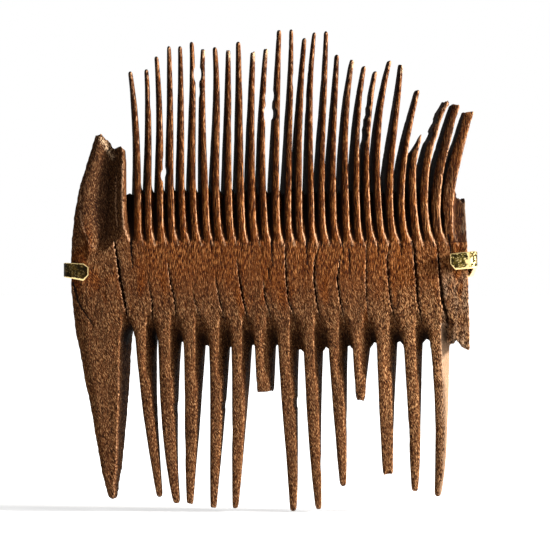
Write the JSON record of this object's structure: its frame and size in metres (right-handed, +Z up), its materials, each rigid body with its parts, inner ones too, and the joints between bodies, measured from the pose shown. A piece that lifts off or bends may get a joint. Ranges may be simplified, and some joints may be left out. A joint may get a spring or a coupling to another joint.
{
  "type": "wooden comb",
  "caption": "Flat two-sided wooden comb with fine teeth above and coarse teeth below a solid spine, split by drying cracks and gripped at both ends by bent brass clips.",
  "frame": {"origin": "centre of the bounding box of the comb with its two clips, at mid thickness of the plank", "axes": "+Z runs up along the fine teeth, +X runs along the comb to the right of its front face, and the front face looks along -Y"},
  "size_m": [0.076, 0.0112, 0.0892],
  "materials": {
    "wood": "dry weathered fibrous surface",
    "brass": "hammered strip with bright filed edges"
  },
  "bodies": {
    "root": {"left_end_guard": "wood", "stave_01": "wood", "stave_02": "wood", "stave_03": "wood", "stave_04": "wood", "stave_05": "wood", "stave_06": "wood", "stave_07": "wood", "stave_08": "wood", "stave_09": "wood", "stave_10": "wood", "stave_11": "wood", "stave_12": "wood", "stave_13": "wood", "right_end_guard": "wood", "left_brass_clip": "brass", "right_brass_clip": "brass"}
  },
  "joints": []
}
